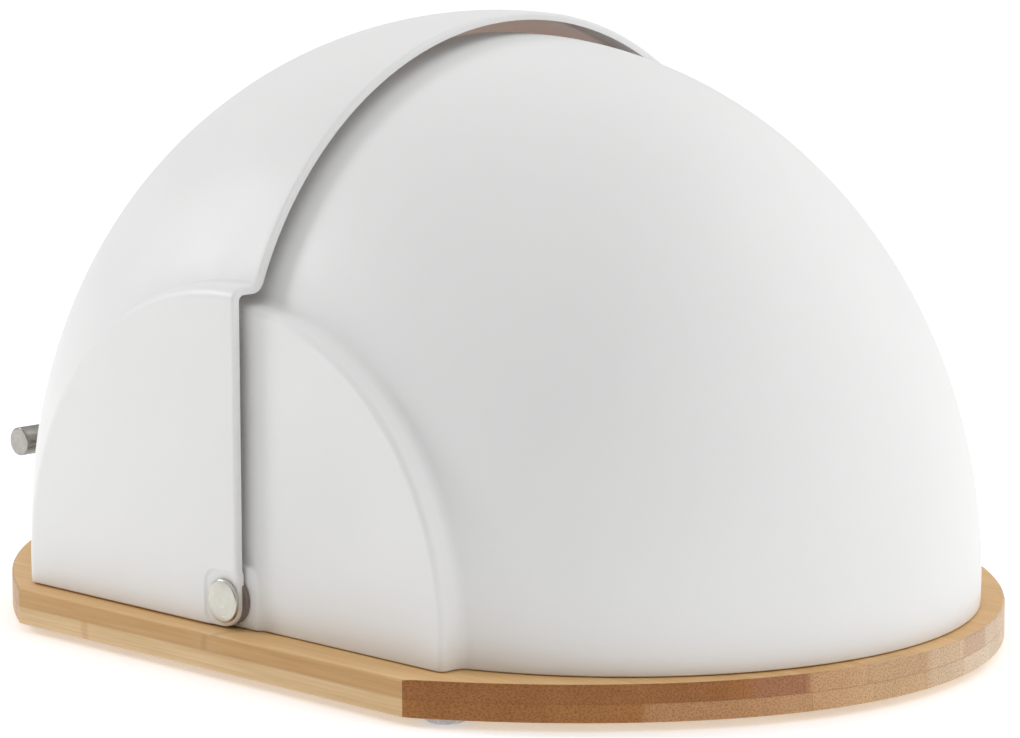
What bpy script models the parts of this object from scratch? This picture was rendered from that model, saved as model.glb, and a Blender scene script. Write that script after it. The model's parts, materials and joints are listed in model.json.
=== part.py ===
"""Bread box with a roll top: a half-dome lid that rolls back over a fixed half-dome shell on a wooden board.

Metres, +Z up. X runs along the lid's hinge axis, -Y is the front with the handle. The origin is under
the middle of the whole box, on the surface that the feet stand on.
"""
import math

import bmesh
import bpy
from mathutils import Vector

MM = 0.001

# ---- driving dimensions -------------------------------------------------------------------------
GAP = 0.3 * MM                 # air between pieces that touch or seat on each other

SHEET = 0.8 * MM               # steel sheet of the lid and of the rear shell
LID_LENGTH = 268.0 * MM        # over the two end panels, along the hinge axis
LID_RADIUS = 193.0 * MM        # hinge axis to the crown of the lid
LID_PANEL = 108.5 * MM         # radius of the lid's raised round end panel
LID_STEP = 10.6 * MM           # how far the end panel stands out from the dome
LID_CORNER = 5.0 * MM          # round-over of the lid's end panel
LID_ROOT = 2.0 * MM            # fillet between the lid's step and its dome
LIP = 2.6 * MM                 # turned-in lip along each sheet edge, measured from the outside
LID_RIM = 6.3 * MM             # lid's back edge, behind the hinge axis
LID_EAR = 8.0 * MM             # rounded corner of the lid beside the pivot
LID_LIFT = 0.6 * MM            # lid's lower edge above the board

NEST_CROWN = 8.0 * MM          # outside of the lid to outside of the rear shell, at the crown
NEST_PANEL = 7.0 * MM          # the same round the end panels
NEST_END = 6.3 * MM            # the same across the end panels
SHELL_STEP = 9.0 * MM          # how far the rear shell's end panel stands out from its dome
SHELL_CORNER = 2.4 * MM        # round-over of the rear shell's end panel
SHELL_ROOT = 4.0 * MM          # fillet between the rear shell's step and its dome
SHELL_CORE_CORNER = 0.4 * MM   # rounding inside the rear shell's lip
SHELL_FRONT = 14.0 * MM        # rear shell's front edge, ahead of the hinge axis

PIVOT_HEIGHT = 10.0 * MM       # hinge axis above the board
PIVOT_PIN = 2.5 * MM           # radius of the pivot screw's shank
PIVOT_HEAD = 7.5 * MM          # radius of its head
PIVOT_HEAD_DEPTH = 2.0 * MM
PIVOT_HEAD_ROUND = 1.2 * MM    # rounding of the head's edge
LID_PAD = 10.0 * MM            # half the side of the shallow square recess around the pivot head
LID_PAD_DEPTH = 0.6 * MM
SHELL_PAD = 12.5 * MM          # half the side of the square pad pressed out of the rear shell
SHELL_PAD_HEIGHT = 1.7 * MM
PAD_CORNER = 5.0 * MM
BUSH_FLANGE = 8.5 * MM         # radius of the bushing's flange, which rides on the pad
BUSH_AIR = 0.5 * MM            # air between that flange and the lid's lip, which sweeps over it
BUSH_HUB = 5.0 * MM            # radius of the bushing's hub, which meets the lid
INNER_WASHER = 6.5 * MM
INNER_WASHER_DEPTH = 1.0 * MM
NUT_RADIUS = 5.2 * MM
NUT_DEPTH = 6.0 * MM
NUT_SHOULDER = 3.0 * MM        # straight part of the cap nut
PIN_BEYOND_NUT_FACE = 4.0 * MM  # how far the shank reaches into the cap nut

BOARD_THICKNESS = 13.0 * MM
BOARD_END_LEDGE = 8.0 * MM     # board beyond the lid's end panels
BOARD_FRONT_LEDGE = 4.6 * MM   # board beyond the lid's crown
BOARD_BACK_LEDGE = 7.4 * MM    # board beyond the rear shell's crown
BOARD_SIDE = 200.0 * MM        # length of each straight side
BOARD_BOW = 77.0 * MM          # how far past the board's middle the far edge's ellipse is centred

FOOT_HEIGHT = 3.0 * MM
FOOT_RADIUS = 8.0 * MM
FOOT_TREAD = 4.5 * MM          # radius of the flat that stands on the table
FOOT_DOME = 2.2 * MM           # height of the foot's rounded part
FOOT_INSET = 16.0 * MM         # foot's centre from the board's straight side
FOOT_PAST = 4.0 * MM           # foot's centre past the end of that side

TAB_LENGTH = 16.0 * MM         # screw tabs turned in from the rear shell's lower edge
TAB_HALF_WIDTH = 8.0 * MM
TAB_SCREW_INSET = 9.0 * MM
END_TAB_Y = 60.0 * MM          # tabs under the end panels, behind the hinge axis
BACK_TAB_X = 50.0 * MM         # tabs at the back, either side of the middle
WOOD_SCREW = 1.75 * MM         # shank radius
WOOD_SCREW_HEAD = 3.6 * MM
WOOD_SCREW_HEAD_DEPTH = 2.0 * MM
WOOD_SCREW_BITE = 9.0 * MM     # length in the board
WOOD_SCREW_POINT = 3.5 * MM
PILOT_CLEARANCE = 1.0 * MM     # empty end of each screw hole

BAR_LENGTH = 100.0 * MM
BAR_RADIUS = 5.5 * MM
BAR_CHAMFER = 0.6 * MM
BAR_STANDOFF = 25.5 * MM       # middle of the bar beyond the lid's crown
BAR_ANGLE = 4.3                # degrees that the bar stands above the hinge axis, seen from the axis
POST_SPACING = 64.0 * MM
POST_RADIUS = 3.5 * MM
SPIGOT_RADIUS = 2.2 * MM       # post's end, held in the bar
SPIGOT_LENGTH = 3.4 * MM
MACHINE_SCREW = 2.0 * MM       # shank radius of the handle's screws
MACHINE_SCREW_HEAD = 3.6 * MM
MACHINE_SCREW_HEAD_DEPTH = 2.2 * MM
MACHINE_SCREW_HEAD_BEVEL = 1.1 * MM
MACHINE_SCREW_BITE = 9.0 * MM  # length in the post
HANDLE_WASHER = 5.0 * MM
HANDLE_WASHER_DEPTH = 1.0 * MM

CUT_PAST = 3.0 * MM            # how far a cutter runs past the face it opens
MERGE = 0.001 * MM             # points closer than this are one point
SHARP = math.radians(40)       # edges that turn by more than this stay sharp

TURN_STEPS = 60                # facets round the lid and the rear shell
DOME_STEPS = 16                # facets along the dome from end to end
FILLET_STEPS = 3
SMALL_STEPS = 20               # facets round small hardware
ARC_STEPS = 24                 # facets along each curved side of the board

# ---- sizes that follow --------------------------------------------------------------------------
LID_HALF = LID_LENGTH / 2
SHELL_RADIUS = LID_RADIUS - NEST_CROWN
SHELL_PANEL = LID_PANEL - NEST_PANEL
SHELL_HALF = LID_HALF - NEST_END

BOARD_HALF_X = LID_HALF + BOARD_END_LEDGE
BOARD_FRONT = LID_RADIUS + BOARD_FRONT_LEDGE
BOARD_BACK = SHELL_RADIUS + BOARD_BACK_LEDGE
BOARD_HALF_Y = (BOARD_FRONT + BOARD_BACK) / 2
BOARD_MIDDLE = (BOARD_BACK - BOARD_FRONT) / 2   # of the board, from the hinge axis
BOARD_TOP = FOOT_HEIGHT + BOARD_THICKNESS
BAR_REACH = LID_RADIUS + BAR_STANDOFF
BAR_FRONT = BAR_REACH * math.cos(math.radians(BAR_ANGLE)) + BAR_RADIUS
HINGE_Y = (BAR_FRONT - BOARD_BACK) / 2
HINGE_Z = BOARD_TOP + PIVOT_HEIGHT
HINGE = Vector((0, HINGE_Y, HINGE_Z))

LID_BOTTOM = LID_LIFT - PIVOT_HEIGHT
SHELL_BOTTOM = GAP - PIVOT_HEIGHT
TAB_TOP = SHELL_BOTTOM + SHEET
WORK = 2 * (LID_RADIUS + LID_HALF)   # larger than the box, for cutters


# ---- helpers ------------------------------------------------------------------------------------
def clear_scene():
    """Remove whatever the file opened with."""
    for item in list(bpy.data.objects):
        bpy.data.objects.remove(item, do_unlink=True)


def material(name, colour, roughness, metallic):
    """A plain Principled material."""
    made = bpy.data.materials.new(name)
    made.use_nodes = True
    shader = made.node_tree.nodes["Principled BSDF"]
    shader.inputs["Base Color"].default_value = (*colour, 1)
    shader.inputs["Roughness"].default_value = roughness
    shader.inputs["Metallic"].default_value = metallic
    return made


def object_from(bm, name, parent, finish=None, smooth=False):
    """Close a bmesh into an object, under its parent."""
    bmesh.ops.recalc_face_normals(bm, faces=bm.faces)
    mesh = bpy.data.meshes.new(name)
    bm.to_mesh(mesh)
    bm.free()
    if smooth:
        mesh.shade_smooth()
        mesh.set_sharp_from_angle(angle=SHARP)
    if finish:
        mesh.materials.append(finish)
    made = bpy.data.objects.new(name, mesh)
    bpy.context.scene.collection.objects.link(made)
    made.parent = parent
    return made


def empty(name, location):
    """A parent empty."""
    made = bpy.data.objects.new(name, None)
    made.location = location
    bpy.context.scene.collection.objects.link(made)
    return made


def as_cutter(item):
    """Mark an object as a cutting tool only."""
    item.hide_render = True
    item.display_type = "WIRE"
    return item


def boolean(item, cutter, operation="DIFFERENCE"):
    """Add an exact Boolean."""
    step = item.modifiers.new(operation.lower(), "BOOLEAN")
    step.operation = operation
    step.solver = "EXACT"
    step.object = cutter


def turned(name, outline, parent, finish=None, ring=False, steps=SMALL_STEPS):
    """A solid turned about its own +Z from (radius, height) points.

    The outline starts and ends on the axis, or is a closed ring.
    """
    bm = bmesh.new()
    verts = [bm.verts.new((radius, 0, height)) for radius, height in outline]
    followers = verts[1:] + verts[:1] if ring else verts[1:]
    edges = [bm.edges.new(pair) for pair in zip(verts, followers)]
    bmesh.ops.spin(bm, geom=verts + edges, cent=(0, 0, 0), axis=(0, 0, 1), angle=2 * math.pi,
                   steps=steps, use_merge=True)
    bmesh.ops.remove_doubles(bm, verts=bm.verts, dist=MERGE)
    return object_from(bm, name, parent, finish, smooth=True)


def rod(name, radius, low, high, parent, finish=None, steps=SMALL_STEPS):
    """A plain round bar along its own Z."""
    return turned(name, [(0, low), (radius, low), (radius, high), (0, high)], parent, finish, steps=steps)


def prism(name, outline, low, high, parent, place, finish=None):
    """A flat outline carried between two levels; place turns (u, v, level) into a point."""
    bm = bmesh.new()
    first = bm.faces.new([bm.verts.new(place(u, v, low)) for u, v in outline])
    moved = bmesh.ops.extrude_face_region(bm, geom=[first])["geom"]
    shift = Vector(place(0, 0, high)) - Vector(place(0, 0, low))
    bmesh.ops.translate(bm, verts=[v for v in moved if isinstance(v, bmesh.types.BMVert)], vec=shift)
    return object_from(bm, name, parent, finish)


def along_x(u, v, level):
    """Place a (y, z) outline at an x."""
    return (level, u, v)


def along_z(u, v, level):
    """Place an (x, y) outline at a height."""
    return (u, v, level)


def arc(centre, radius, start, end, steps):
    """Points along an arc, both ends included, angles in radians."""
    points = []
    for step in range(steps + 1):
        angle = start + (end - start) * step / steps
        points.append((centre[0] + radius * math.cos(angle), centre[1] + radius * math.sin(angle)))
    return points


def rounded_square(half, corner, centre=(0, 0)):
    """Outline of a square with round corners."""
    points = []
    for quarter in range(4):
        start = quarter * math.pi / 2
        middle = start + math.pi / 4
        reach = (half - corner) * math.sqrt(2)
        pivot = (centre[0] + reach * math.cos(middle), centre[1] + reach * math.sin(middle))
        points += arc(pivot, corner, start, start + math.pi / 2, FILLET_STEPS)
    return points


# ---- the dome -----------------------------------------------------------------------------------
class Dome:
    """A half of the box as one turned shape: a circular arc over the crown and a raised end panel."""

    def __init__(self, half, step, panel, crown):
        foot = half - step
        rise = crown - panel
        self.half = half
        self.panel = panel
        self.arc = (foot ** 2 + rise ** 2) / (2 * rise)
        self.centre = crown - self.arc
        spread = math.atan2(foot, panel - self.centre)
        self.sag = self.arc * (1 - math.cos(spread / DOME_STEPS))   # facet's middle inside the arc

    def radius(self, x, depth):
        """Distance from the hinge axis at x, at a depth below the outside."""
        return self.centre + math.sqrt((self.arc - depth) ** 2 - x ** 2)

    def outline(self, depth, corner, root):
        """(x, radius) points from the rim of one end panel, over the crown, to the other end panel."""
        end = self.half - depth
        wall = self.panel - depth
        reach = self.arc - depth
        root_y = wall + root - self.centre
        root_x = math.sqrt((reach + root) ** 2 - root_y ** 2)
        meet = math.atan2(root_y, root_x)
        half = arc((end - corner, wall - corner), corner, 0, math.pi / 2, FILLET_STEPS)
        half += arc((root_x, wall + root), root, -math.pi / 2, meet - math.pi, FILLET_STEPS)
        crown = arc((0, self.centre), reach, meet, math.pi - meet, DOME_STEPS)
        other = [(-x, radius) for x, radius in reversed(half)]
        return half + crown[1:-1] + other


LID_DOME = Dome(LID_HALF, LID_STEP, LID_PANEL, LID_RADIUS)
SHELL_DOME = Dome(SHELL_HALF, SHELL_STEP, SHELL_PANEL, SHELL_RADIUS)


def dome_body(name, dome, depth, corner, root, parent):
    """The whole dome, turned about the hinge axis, at a depth below its outside."""
    bm = bmesh.new()
    rings = []
    for x, radius in dome.outline(depth, corner, root):
        ring = []
        for step in range(TURN_STEPS):
            angle = 2 * math.pi * step / TURN_STEPS
            ring.append(bm.verts.new((x, radius * math.cos(angle), radius * math.sin(angle))))
        rings.append(ring)
    for ring, after in zip(rings, rings[1:]):
        bmesh.ops.bridge_loops(bm, edges=loop_edges(bm, ring) + loop_edges(bm, after))
    bm.faces.new(rings[0])
    bm.faces.new(rings[-1])
    return object_from(bm, name, parent, smooth=True)


def loop_edges(bm, ring):
    """The edges of a closed ring of vertices, made where they are missing."""
    edges = []
    for first, second in zip(ring, ring[1:] + ring[:1]):
        found = bm.edges.get((first, second))
        edges.append(found or bm.edges.new((first, second)))
    return edges


def lid_region(inset):
    """(y, z) outline of the space the lid keeps, cut back by an inset along its edges."""
    rim = LID_RIM - inset
    low = LID_BOTTOM + inset
    corner = LID_EAR - inset
    ear = arc((rim - corner, low + corner), corner, -math.pi / 2, 0, 2 * FILLET_STEPS)
    return [(-WORK, low)] + ear + [(rim, WORK), (-WORK, WORK)]


def shell_region(inset):
    """(y, z) outline of the space the rear shell keeps."""
    front = inset - SHELL_FRONT
    low = SHELL_BOTTOM + inset
    return [(front, low), (WORK, low), (WORK, WORK), (front, WORK)]


def hollow_sheet(item, inner, core, region):
    """Cut a dome down to a pressed sheet with a turned-in lip along its edges."""
    kept = as_cutter(prism(item.name + "_region", region(0), -WORK, WORK, item.parent, along_x))
    inset = as_cutter(prism(item.name + "_inset", region(SHEET), -WORK, WORK, item.parent, along_x))
    boolean(item, kept, "INTERSECT")
    boolean(inner, inset, "INTERSECT")
    boolean(item, as_cutter(inner))
    boolean(item, as_cutter(core))


def end_pads(name, half, corner, near, far, parent):
    """Two square cutters across the hinge axis, one at each end, between two distances from the middle."""
    outline = rounded_square(half, corner)
    pads = []
    for side, end in ((-1, "left"), (1, "right")):
        pad = prism(name + "_" + end, outline, side * near, side * far, parent, along_x)
        pads.append(as_cutter(pad))
    return pads


def make_lid(parent, paint):
    """The rolling front half of the dome."""
    lid = dome_body("lid", LID_DOME, 0, LID_CORNER, LID_ROOT, parent)
    lid.data.materials.append(paint)
    inner = dome_body("lid_inner", LID_DOME, SHEET, LID_CORNER - SHEET, LID_ROOT + SHEET, parent)
    core = dome_body("lid_core", LID_DOME, LIP, LID_CORNER - LIP, LID_ROOT + LIP, parent)
    beyond = LID_HALF + CUT_PAST
    for cutter in end_pads("lid_recess", LID_PAD, PAD_CORNER, LID_HALF - LID_PAD_DEPTH, beyond, parent):
        boolean(lid, cutter)
    floor = LID_HALF - SHEET - LID_PAD_DEPTH
    for cutter in end_pads("lid_recess_back", LID_PAD + SHEET, PAD_CORNER + SHEET, floor, beyond, parent):
        boolean(inner, cutter)
    hollow_sheet(lid, inner, core, lid_region)
    boolean(lid, pivot_hole("lid_pivot_hole", parent))
    for hole in handle_holes(parent):
        boolean(lid, hole)
    return lid


def make_rear_shell(parent, paint, screw_holes):
    """The fixed rear half of the dome, with its screw tabs."""
    shell = dome_body("rear_shell", SHELL_DOME, 0, SHELL_CORNER, SHELL_ROOT, parent)
    shell.data.materials.append(paint)
    inner = dome_body("shell_inner", SHELL_DOME, SHEET, SHELL_CORNER - SHEET, SHELL_ROOT + SHEET, parent)
    core = dome_body("shell_core", SHELL_DOME, LIP, SHELL_CORE_CORNER, SHELL_ROOT + LIP, parent)
    start = SHELL_HALF - CUT_PAST
    for pad in end_pads("shell_pad", SHELL_PAD, PAD_CORNER, start, SHELL_HALF + SHELL_PAD_HEIGHT, parent):
        boolean(shell, pad, "UNION")
    back = SHELL_HALF + SHELL_PAD_HEIGHT - SHEET
    for pad in end_pads("shell_pad_back", SHELL_PAD - SHEET, PAD_CORNER - SHEET, start, back, parent):
        boolean(inner, pad, "UNION")
    for number, outline in enumerate(tab_outlines()):
        tab = prism(f"tab_{number}", outline, TAB_TOP - WORK, TAB_TOP, parent, along_z)
        boolean(core, as_cutter(tab))
    hollow_sheet(shell, inner, core, shell_region)
    boolean(shell, pivot_hole("shell_pivot_hole", parent))
    for hole in screw_holes:
        boolean(shell, hole)
    return shell


# ---- screw tabs ---------------------------------------------------------------------------------
def shell_wall_y(x):
    """How far behind the hinge axis the rear shell's outside lies at x, at the height of its tabs."""
    return math.sqrt(SHELL_DOME.radius(x, 0) ** 2 - TAB_TOP ** 2)


def tab_outlines():
    """(x, y) outlines of the four tabs, each carried on outwards past the sheet."""
    tabs = []
    inner = SHELL_HALF - TAB_LENGTH
    tabs += [((side * inner, END_TAB_Y), (side * WORK, END_TAB_Y)) for side in (-1, 1)]
    inner = shell_wall_y(BACK_TAB_X) - TAB_LENGTH
    tabs += [((side * BACK_TAB_X, inner), (side * BACK_TAB_X, WORK)) for side in (-1, 1)]
    outlines = []
    for start, end in tabs:
        run = (Vector(end) - Vector(start)).normalized()
        across = Vector((-run.y, run.x)) * TAB_HALF_WIDTH
        corners = [Vector(start) - across, Vector(end) - across, Vector(end) + across, Vector(start) + across]
        outlines.append([tuple(corner) for corner in corners])
    return outlines


def tab_screw_places():
    """(x, y) of each wood screw, from the hinge axis."""
    ends = [(side * (SHELL_HALF - TAB_SCREW_INSET), END_TAB_Y) for side in (-1, 1)]
    back = shell_wall_y(BACK_TAB_X) - TAB_SCREW_INSET
    return ends + [(side * BACK_TAB_X, back) for side in (-1, 1)]


def make_screw_holes(parent):
    """Cutters that run through each tab and down into the board."""
    low = -PIVOT_HEIGHT - WOOD_SCREW_BITE - PILOT_CLEARANCE
    holes = []
    for number, (x, y) in enumerate(tab_screw_places()):
        hole = rod(f"screw_hole_{number}", WOOD_SCREW + GAP, low, TAB_TOP + CUT_PAST, parent)
        hole.location = (x, y, 0)
        holes.append(as_cutter(hole))
    return holes


def make_wood_screws(parent, steel):
    """Round-head screws that hold the rear shell to the board."""
    seat = TAB_TOP + GAP
    tip = -PIVOT_HEIGHT - WOOD_SCREW_BITE
    quarter = arc((0, 0), 1, 0, math.pi / 2, FILLET_STEPS)[:-1]
    head = [(WOOD_SCREW_HEAD * x, seat + WOOD_SCREW_HEAD_DEPTH * z) for x, z in quarter]
    outline = [(0, tip), (WOOD_SCREW, tip + WOOD_SCREW_POINT), (WOOD_SCREW, seat)] + head
    outline += [(0, seat + WOOD_SCREW_HEAD_DEPTH)]
    for number, (x, y) in enumerate(tab_screw_places(), 1):
        screw = turned(f"shell_screw_{number}", outline, parent, steel)
        screw.location = (x, y, 0)


# ---- pivots -------------------------------------------------------------------------------------
def pivot_hole(name, parent):
    """A cutter along the hinge axis, through both end panels."""
    hole = rod(name, PIVOT_PIN + GAP, -WORK, WORK, parent)
    hole.rotation_euler = (0, math.pi / 2, 0)
    return as_cutter(hole)


def make_pivots(parent, steel, dark):
    """At each end, a head outside the lid, a bushing between the sheets, and a washer and cap nut inside."""
    pad_face = SHELL_HALF + SHELL_PAD_HEIGHT
    lid_face = LID_HALF - LID_PAD_DEPTH
    flange_low = pad_face + GAP
    flange_high = LID_HALF - LIP - BUSH_AIR
    hub_high = lid_face - SHEET - GAP
    washer_high = pad_face - SHEET - GAP
    washer_low = washer_high - INNER_WASHER_DEPTH
    nut_high = washer_low - GAP
    pin_low = nut_high - PIN_BEYOND_NUT_FACE
    head_low = lid_face + GAP
    head_high = head_low + PIVOT_HEAD_DEPTH
    edge = PIVOT_HEAD_ROUND
    bore = PIVOT_PIN + GAP

    screw = [(0, pin_low), (PIVOT_PIN, pin_low), (PIVOT_PIN, head_low), (PIVOT_HEAD, head_low)]
    screw += arc((PIVOT_HEAD - edge, head_high - edge), edge, 0, math.pi / 2, FILLET_STEPS)
    screw += [(0, head_high)]
    bush = [(bore, flange_low), (BUSH_FLANGE, flange_low), (BUSH_FLANGE, flange_high)]
    bush += [(BUSH_HUB, flange_high), (BUSH_HUB, hub_high), (bore, hub_high)]
    washer = [(bore, washer_low), (INNER_WASHER, washer_low), (INNER_WASHER, washer_high)]
    washer += [(bore, washer_high)]
    nut_low = nut_high - NUT_DEPTH
    shoulder = nut_high - NUT_SHOULDER
    quarter = arc((0, 0), 1, -math.pi / 2, 0, FILLET_STEPS)[1:]
    nut = [(0, nut_low)] + [(NUT_RADIUS * x, shoulder + (shoulder - nut_low) * y) for x, y in quarter]
    nut += [(NUT_RADIUS, nut_high), (bore, nut_high), (bore, pin_low - GAP), (0, pin_low - GAP)]

    for side, end in ((-1, "left"), (1, "right")):
        pieces = [turned("pivot_screw_" + end, screw, parent, steel),
                  turned("pivot_bushing_" + end, bush, parent, dark, ring=True),
                  turned("pivot_washer_" + end, washer, parent, steel, ring=True),
                  turned("pivot_nut_" + end, nut, parent, steel)]
        for piece in pieces:
            piece.rotation_euler = (0, side * math.pi / 2, 0)


# ---- handle -------------------------------------------------------------------------------------
def aim_from_axis(item, x):
    """Stand a piece on the hinge axis at x, with its +Z through the handle's bar."""
    item.location = (x, 0, 0)
    item.rotation_euler = (math.radians(90 - BAR_ANGLE), 0, 0)
    return item


def handle_sides():
    """Where the two posts stand along the bar."""
    return ((-POST_SPACING / 2, "left"), (POST_SPACING / 2, "right"))


def handle_holes(parent):
    """Cutters for the handle's screws, through the lid only."""
    holes = []
    for x, end in handle_sides():
        low = LID_DOME.radius(x, SHEET) - CUT_PAST
        hole = rod("handle_hole_" + end, MACHINE_SCREW + GAP, low, LID_RADIUS + CUT_PAST, parent)
        holes.append(as_cutter(aim_from_axis(hole, x)))
    return holes


def make_handle(parent, brushed, steel):
    """A round bar on two posts, each held by a screw and a washer inside the lid."""
    out = Vector((0, -math.cos(math.radians(BAR_ANGLE)), math.sin(math.radians(BAR_ANGLE))))
    half = BAR_LENGTH / 2
    chamfer = BAR_RADIUS - BAR_CHAMFER
    ends = [(0, -half), (chamfer, -half), (BAR_RADIUS, BAR_CHAMFER - half)]
    bar = turned("handle_bar", ends + [(radius, -z) for radius, z in reversed(ends)], parent, brushed)
    bar.location = out * BAR_REACH
    bar.rotation_euler = (0, math.pi / 2, 0)

    around = as_cutter(rod("bar_clearance", BAR_RADIUS + GAP, -half, half, parent))
    around.location = bar.location
    around.rotation_euler = bar.rotation_euler
    lid_skin = as_cutter(dome_body("lid_clearance", LID_DOME, -GAP, LID_CORNER, LID_ROOT - GAP, parent))

    bar_face = BAR_REACH - BAR_RADIUS
    spigot_top = bar_face + SPIGOT_LENGTH
    for x, end in handle_sides():
        lid_face = LID_DOME.radius(x, 0)
        low = lid_face - CUT_PAST
        bite = lid_face + MACHINE_SCREW_BITE
        hole = rod("spigot_hole_" + end, SPIGOT_RADIUS + GAP, bar_face - CUT_PAST, spigot_top + GAP, parent)
        boolean(bar, as_cutter(aim_from_axis(hole, x)))
        post = rod("handle_post_" + end, POST_RADIUS, low, BAR_REACH, parent, brushed)
        aim_from_axis(post, x)
        spigot = rod("spigot_" + end, SPIGOT_RADIUS, bar_face - SPIGOT_LENGTH, spigot_top, parent)
        thread = rod("thread_" + end, MACHINE_SCREW + GAP, low - CUT_PAST, bite + PILOT_CLEARANCE, parent)
        boolean(post, around)
        boolean(post, as_cutter(aim_from_axis(spigot, x)), "UNION")
        boolean(post, lid_skin)
        boolean(post, as_cutter(aim_from_axis(thread, x)))

        facet = math.cos(math.pi / TURN_STEPS)
        seat = (LID_DOME.radius(abs(x) + HANDLE_WASHER, SHEET) - LID_DOME.sag) * facet - GAP
        under = seat - HANDLE_WASHER_DEPTH
        bore = MACHINE_SCREW + GAP
        ring = [(bore, under), (HANDLE_WASHER, under), (HANDLE_WASHER, seat), (bore, seat)]
        aim_from_axis(turned("handle_washer_" + end, ring, parent, steel, ring=True), x)
        head = under - GAP
        base = head - MACHINE_SCREW_HEAD_DEPTH
        bevel = MACHINE_SCREW_HEAD_BEVEL
        screw = [(0, base), (MACHINE_SCREW_HEAD - bevel, base), (MACHINE_SCREW_HEAD, base + bevel)]
        screw += [(MACHINE_SCREW_HEAD, head), (MACHINE_SCREW, head), (MACHINE_SCREW, bite), (0, bite)]
        aim_from_axis(turned("handle_screw_" + end, screw, parent, steel), x)


# ---- board and feet -----------------------------------------------------------------------------
def board_outline():
    """(x, y) outline from the board's middle: two straight ends joined by parts of two ellipses."""
    reach = BOARD_HALF_Y + BOARD_BOW
    meet = math.asin((BOARD_SIDE / 2 + BOARD_BOW) / reach)
    spread = BOARD_HALF_X / math.cos(meet)
    back = arc((0, 0), 1, meet, math.pi - meet, ARC_STEPS)
    back = [(spread * x, reach * y - BOARD_BOW) for x, y in back]
    front = [(-x, -y) for x, y in back]
    return back + front


def make_board(parent, wood, screw_holes):
    """The solid wooden board."""
    top = -PIVOT_HEIGHT
    outline = [(x, BOARD_MIDDLE + y) for x, y in board_outline()]
    board = prism("base_board", outline, top - BOARD_THICKNESS, top, parent, along_z, wood)
    for hole in screw_holes:
        boolean(board, hole)
    return board


def make_feet(parent, rubber):
    """Low domed bumpers under the board's corners."""
    base = -HINGE_Z
    top = base + FOOT_HEIGHT - GAP
    flare = FOOT_RADIUS - FOOT_TREAD
    quarter = arc((0, 1), 1, -math.pi / 2, 0, FILLET_STEPS)
    outline = [(0, base)] + [(FOOT_TREAD + flare * x, base + FOOT_DOME * z) for x, z in quarter]
    outline += [(FOOT_RADIUS, top), (0, top)]
    foot_x = BOARD_HALF_X - FOOT_INSET
    foot_y = BOARD_SIDE / 2 + FOOT_PAST
    for row, y in (("front", -foot_y), ("back", foot_y)):
        for end, x in (("left", -foot_x), ("right", foot_x)):
            foot = turned(f"foot_{row}_{end}", outline, parent, rubber)
            foot.location = (x, BOARD_MIDDLE + y, 0)


def build():
    """Make every piece. Both parent empties stand on the hinge axis."""
    clear_scene()
    paint = material("white_paint", (0.78, 0.78, 0.76), 0.42, 0.0)
    wood = material("bamboo", (0.60, 0.38, 0.19), 0.55, 0.0)
    brushed = material("brushed_steel", (0.56, 0.55, 0.52), 0.32, 1.0)
    steel = material("bright_steel", (0.72, 0.71, 0.67), 0.2, 1.0)
    dark = material("dark_nylon", (0.17, 0.14, 0.13), 0.5, 0.0)
    rubber = material("clear_rubber", (0.55, 0.55, 0.58), 0.35, 0.0)

    base = empty("base", HINGE)
    lid_axis = empty("lid_axis", HINGE)
    screw_holes = make_screw_holes(base)
    make_board(base, wood, screw_holes)
    make_feet(base, rubber)
    make_rear_shell(base, paint, screw_holes)
    make_wood_screws(base, steel)
    make_pivots(base, steel, dark)
    make_lid(lid_axis, paint)
    make_handle(lid_axis, brushed, steel)


build()
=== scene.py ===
import json
import math

import bmesh
import bpy
from mathutils import Matrix, Quaternion, Vector, geometry


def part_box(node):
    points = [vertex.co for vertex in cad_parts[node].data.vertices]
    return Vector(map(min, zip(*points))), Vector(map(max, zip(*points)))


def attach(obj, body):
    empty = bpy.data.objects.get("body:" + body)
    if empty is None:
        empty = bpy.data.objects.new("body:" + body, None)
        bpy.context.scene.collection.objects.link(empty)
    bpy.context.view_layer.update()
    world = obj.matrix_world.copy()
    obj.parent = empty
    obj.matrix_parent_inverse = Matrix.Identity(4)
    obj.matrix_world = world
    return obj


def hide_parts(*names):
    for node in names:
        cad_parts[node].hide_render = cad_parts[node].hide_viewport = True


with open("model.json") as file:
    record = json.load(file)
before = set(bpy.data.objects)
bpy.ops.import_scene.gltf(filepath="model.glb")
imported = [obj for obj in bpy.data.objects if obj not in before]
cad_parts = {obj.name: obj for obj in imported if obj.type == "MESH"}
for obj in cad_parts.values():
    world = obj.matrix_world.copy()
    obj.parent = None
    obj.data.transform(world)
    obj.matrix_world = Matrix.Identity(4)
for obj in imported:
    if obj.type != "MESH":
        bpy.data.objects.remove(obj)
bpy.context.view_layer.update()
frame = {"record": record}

mm = 0.001
hinge = Vector(frame["record"]["behaviour"]["joints"][0]["pos_m"])
sides = ((-1, "left"), (1, "right"))
print("frame loaded, hinge at", tuple(round(v, 4) for v in hinge))


# camera
viewpoint = {
    "azimuth": 135.76,
    "elevation": 9.48,
    "distance": 1.6675,
    "lens": 163.93,
    "lookAt": (0.85 * mm, 0.0, 88.66 * mm),   # from the hinge sideways, from the table up
    "roll": -0.15,
    "shift": (0.0069, 0.0050),
}


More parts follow.
